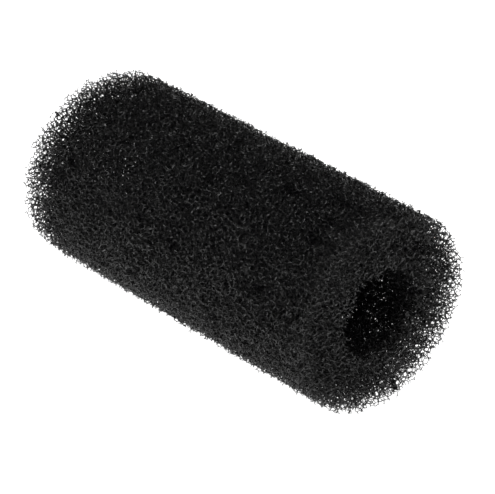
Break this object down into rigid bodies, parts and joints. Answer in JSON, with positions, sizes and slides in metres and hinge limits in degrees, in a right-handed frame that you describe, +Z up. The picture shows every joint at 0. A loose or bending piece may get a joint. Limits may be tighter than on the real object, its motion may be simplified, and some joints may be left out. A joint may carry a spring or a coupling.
{
  "type": "filter sponge sleeve",
  "caption": "Round sleeve of black open-cell filter foam with a through bore, pushed over a pump inlet or strainer pipe to catch debris.",
  "frame": {"origin": "the ground point under the middle of the sleeve as it lies on its side", "axes": "+X along the bore, towards the end that faces the camera; +Z up; +Y across the sleeve"},
  "size_m": [0.1046, 0.05, 0.05],
  "materials": {
    "foam": "open-cell reticulated polyurethane foam, black, its thin struts satin"
  },
  "bodies": {
    "root": {"foam_sleeve": "foam"}
  },
  "joints": []
}
